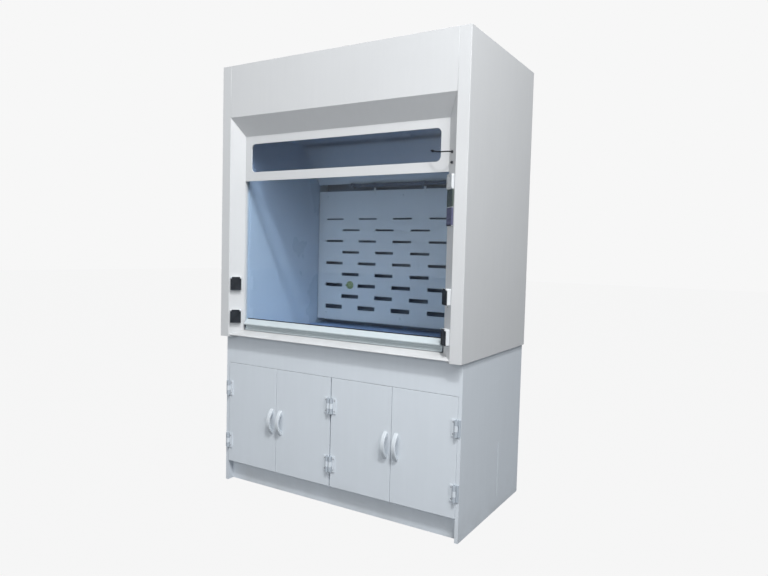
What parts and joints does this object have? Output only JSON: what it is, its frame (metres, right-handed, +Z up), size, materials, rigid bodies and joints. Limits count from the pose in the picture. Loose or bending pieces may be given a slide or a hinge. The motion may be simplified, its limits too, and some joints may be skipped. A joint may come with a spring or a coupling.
{
  "type": "fume hood",
  "caption": "Floor-standing laboratory fume hood of welded plastic sheet: vertical sliding glass sash over a slotted baffle chamber, on a hinged-door base cabinet.",
  "frame": {"origin": "on the floor at the centre of the footprint", "axes": "+Z up, +X to the right across the front, +Y from the front to the back"},
  "size_m": [1.5, 0.8592, 2.41],
  "materials": {
    "white_pp": "satin welded sheet",
    "liner_pp": "satin welded sheet",
    "white_moulding": "smooth moulded",
    "safety_glass": "clear toughened",
    "window_glass": "grey tinted",
    "worktop_resin": "matt dark slab",
    "steel": "brushed",
    "iron": "painted casting",
    "black_moulding": "smooth moulded",
    "nylon": "turned",
    "foot_black": "moulded",
    "outlet_green": "moulded",
    "screen_dark": "glossy display window",
    "key_plum": "moulded key",
    "diffuser": "opal"
  },
  "bodies": {
    "cabinet": {"base_sides": "white_pp", "base_floor": "white_pp", "base_back": "white_pp", "base_partition": "white_pp", "storage_shelves": "white_pp", "toe_kick": "white_pp", "apron_panel": "white_pp", "levelling_feet": "foot_black", "door_catches": "black_moulding", "hinge_frame_leaves": "white_moulding", "hinge_pins": "steel", "hood_sides": "white_pp", "hood_back": "white_pp", "front_posts": "white_pp", "header_panel": "white_pp", "transom_panel": "white_pp", "transom_glass": "window_glass", "roof_panel": "white_pp", "exhaust_collar": "white_pp", "liner_sides": "liner_pp", "liner_ceiling": "liner_pp", "lamp_diffuser": "diffuser", "lamp_housing": "white_moulding", "baffle_lower": "liner_pp", "baffle_upper": "liner_pp", "baffle_brackets": "liner_pp", "worktop": "worktop_resin", "airfoil_sill": "white_pp", "wash_pipe": "liner_pp", "service_outlet": "outlet_green", "sash_tracks": "liner_pp", "pulley_brackets": "steel", "sash_cables": "steel", "socket_boxes": "white_moulding", "socket_inserts": "black_moulding", "control_housing": "white_moulding", "control_screen": "screen_dark", "sensor_cable": "black_moulding"},
    "sash": {"sash_glass": "safety_glass", "sash_handle_rail": "white_moulding", "sash_side_rails": "white_moulding"},
    "counterweight_left": {"counterweight_left": "iron"},
    "counterweight_right": {"counterweight_right": "iron"},
    "pulley_left": {"pulley_left": "nylon"},
    "pulley_right": {"pulley_right": "nylon"},
    "door_1": {"door_1": "white_pp", "door_handle_1": "white_moulding"},
    "door_2": {"door_2": "white_pp", "door_handle_2": "white_moulding"},
    "door_3": {"door_3": "white_pp", "door_handle_3": "white_moulding"},
    "door_4": {"door_4": "white_pp", "door_handle_4": "white_moulding"},
    "socket_cover_1": {"socket_cover_1": "black_moulding"},
    "socket_cover_2": {"socket_cover_2": "black_moulding"},
    "socket_cover_3": {"socket_cover_3": "black_moulding"},
    "socket_cover_4": {"socket_cover_4": "black_moulding"},
    "control_key_1": {"control_key_1": "key_plum"},
    "control_key_2": {"control_key_2": "key_plum"},
    "control_key_3": {"control_key_3": "key_plum"}
  },
  "joints": [
    {"name": "sash_slide", "type": "slide", "parent": "cabinet", "child": "sash", "axis": [0, 0, 1], "range_m": [0, 0.56], "deforming": ["sash_cables"]},
    {"name": "counterweight_left_slide", "type": "slide", "parent": "cabinet", "child": "counterweight_left", "axis": [0, 0, -1], "range_m": [0, 0.565]},
    {"name": "pulley_left_spin", "type": "hinge", "parent": "cabinet", "child": "pulley_left", "pos_m": [-0.668, -0.27945, 2.26], "axis": [-1, 0, 0], "range_deg": [0, 590]},
    {"name": "counterweight_right_slide", "type": "slide", "parent": "cabinet", "child": "counterweight_right", "axis": [0, 0, -1], "range_m": [0, 0.565]},
    {"name": "pulley_right_spin", "type": "hinge", "parent": "cabinet", "child": "pulley_right", "pos_m": [0.668, -0.27945, 2.26], "axis": [-1, 0, 0], "range_deg": [0, 590]},
    {"name": "door_1_hinge", "type": "hinge", "parent": "cabinet", "child": "door_1", "pos_m": [-0.718, -0.38495, 0.389], "axis": [0, 0, -1], "range_deg": [0, 110]},
    {"name": "door_2_hinge", "type": "hinge", "parent": "cabinet", "child": "door_2", "pos_m": [-0.0095, -0.38495, 0.389], "axis": [0, 0, 1], "range_deg": [0, 85]},
    {"name": "door_3_hinge", "type": "hinge", "parent": "cabinet", "child": "door_3", "pos_m": [0.0095, -0.38495, 0.389], "axis": [0, 0, -1], "range_deg": [0, 85]},
    {"name": "door_4_hinge", "type": "hinge", "parent": "cabinet", "child": "door_4", "pos_m": [0.718, -0.38495, 0.389], "axis": [0, 0, 1], "range_deg": [0, 110]},
    {"name": "socket_cover_1_hinge", "type": "hinge", "parent": "cabinet", "child": "socket_cover_1", "pos_m": [-0.64826, -0.40784, 0.9963], "axis": [-0.7071, -0.7071, 0], "range_deg": [0, 100], "stiffness_Nm_per_rad": 0.02, "springref_deg": -17.19},
    {"name": "socket_cover_2_hinge", "type": "hinge", "parent": "cabinet", "child": "socket_cover_2", "pos_m": [-0.64826, -0.40784, 1.1813], "axis": [-0.7071, -0.7071, 0], "range_deg": [0, 100], "stiffness_Nm_per_rad": 0.02, "springref_deg": -17.19},
    {"name": "socket_cover_3_hinge", "type": "hinge", "parent": "cabinet", "child": "socket_cover_3", "pos_m": [0.64826, -0.40784, 0.9963], "axis": [-0.7071, 0.7071, 0], "range_deg": [0, 100], "stiffness_Nm_per_rad": 0.02, "springref_deg": -17.19},
    {"name": "socket_cover_4_hinge", "type": "hinge", "parent": "cabinet", "child": "socket_cover_4", "pos_m": [0.64826, -0.40784, 1.1813], "axis": [-0.7071, 0.7071, 0], "range_deg": [0, 100], "stiffness_Nm_per_rad": 0.02, "springref_deg": -17.19},
    {"name": "control_key_1_press", "type": "slide", "parent": "cabinet", "child": "control_key_1", "axis": [0.7071, 0.7071, 0], "range_m": [0, 0.0012], "stiffness_N_per_m": 400, "springref_m": -0.0015},
    {"name": "control_key_2_press", "type": "slide", "parent": "cabinet", "child": "control_key_2", "axis": [0.7071, 0.7071, 0], "range_m": [0, 0.0012], "stiffness_N_per_m": 400, "springref_m": -0.0015},
    {"name": "control_key_3_press", "type": "slide", "parent": "cabinet", "child": "control_key_3", "axis": [0.7071, 0.7071, 0], "range_m": [0, 0.0012], "stiffness_N_per_m": 400, "springref_m": -0.0015}
  ],
  "couplings": [
    {"joint": "counterweight_left_slide", "follows": "sash_slide", "ratio": 1},
    {"joint": "pulley_left_spin", "follows": "sash_slide", "rad_per_m": 18.182},
    {"joint": "counterweight_right_slide", "follows": "sash_slide", "ratio": 1},
    {"joint": "pulley_right_spin", "follows": "sash_slide", "rad_per_m": 18.182}
  ]
}
